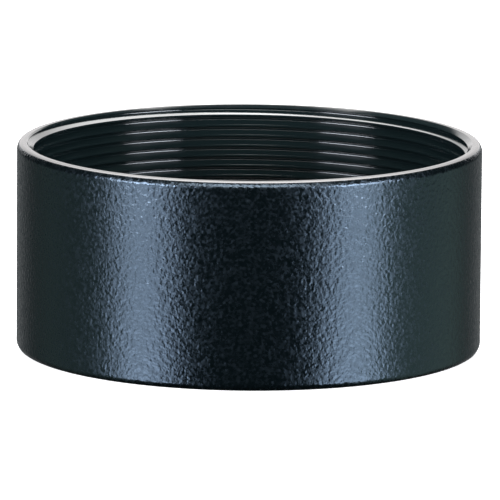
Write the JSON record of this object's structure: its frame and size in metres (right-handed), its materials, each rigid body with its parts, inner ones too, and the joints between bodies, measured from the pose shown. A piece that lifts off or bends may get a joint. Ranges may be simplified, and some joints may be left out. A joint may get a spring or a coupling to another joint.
{
  "type": "lens tube",
  "caption": "Short open metal ring with a fine internal thread right through it, bevelled outer edges and a plain textured outside, for mounting optics.",
  "frame": {"origin": "centre of the lower end face, on the optical axis", "axes": "+Z along the optical axis, up when the tube stands on its end; X and Y are equal"},
  "size_m": [0.0336, 0.0336, 0.015],
  "materials": {
    "black_aluminium": "fine-textured satin black coating on turned aluminium, smooth black at both rims and in the bore"
  },
  "bodies": {
    "root": {"lens_tube": "black_aluminium"}
  },
  "joints": []
}
